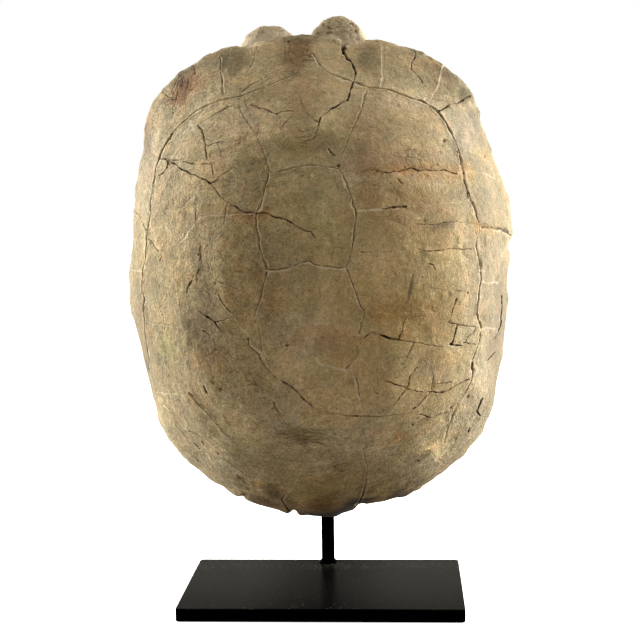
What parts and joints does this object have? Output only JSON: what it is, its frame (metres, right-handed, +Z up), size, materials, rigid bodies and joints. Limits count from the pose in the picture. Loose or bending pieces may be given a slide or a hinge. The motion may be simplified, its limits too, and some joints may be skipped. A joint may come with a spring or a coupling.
{
  "type": "fossil turtle shell",
  "caption": "Stone-filled fossil tortoise shell with domed back and flat belly plate, held upright on a flat black steel stand with a square post.",
  "frame": {"origin": "centre of the base plate's underside", "axes": "+X to the viewer's right, +Y towards the belly side at the back, +Z up towards the head end of the shell; the domed back faces -Y"},
  "size_m": [0.2813, 0.16, 0.4234],
  "materials": {
    "fossil_bone": "dry matt fossil bone with stone filling",
    "black_steel": "satin black paint"
  },
  "bodies": {
    "root": {"fossil_shell": "fossil_bone", "post": "black_steel", "base_plate": "black_steel"}
  },
  "joints": []
}
